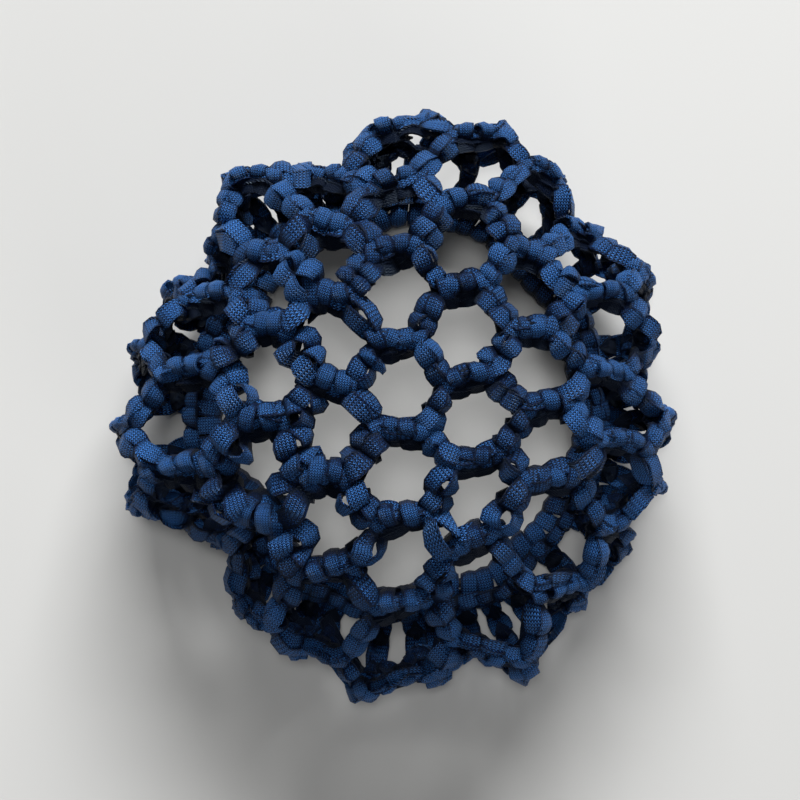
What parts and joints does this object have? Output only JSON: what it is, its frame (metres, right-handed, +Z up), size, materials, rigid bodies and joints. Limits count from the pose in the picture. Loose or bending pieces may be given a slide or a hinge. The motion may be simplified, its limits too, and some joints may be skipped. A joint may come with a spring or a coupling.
{
  "type": "crocheted ribbon bun cover hair net",
  "caption": "Openwork crocheted bun cover in navy ribbon: a domed honeycomb net that bulges over a hair bun and gathers into an elastic mouth.",
  "frame": {"origin": "middle of the bottom of the object's box, on the surface that the mouth rests on", "axes": "+Z up through the crown, +Y towards the top of the picture, +X towards its right"},
  "size_m": [0.1068, 0.1118, 0.0377],
  "materials": {
    "ribbon": "satin knitted ribbon yarn",
    "elastic": "matt covered elastic"
  },
  "bodies": {
    "root": {"centre_ring": "ribbon", "crown_ring_1": "ribbon", "crown_ring_2": "ribbon", "side_ring_3": "ribbon", "side_ring_4": "ribbon", "mouth_edging": "ribbon", "mouth_elastic": "elastic"}
  },
  "joints": []
}
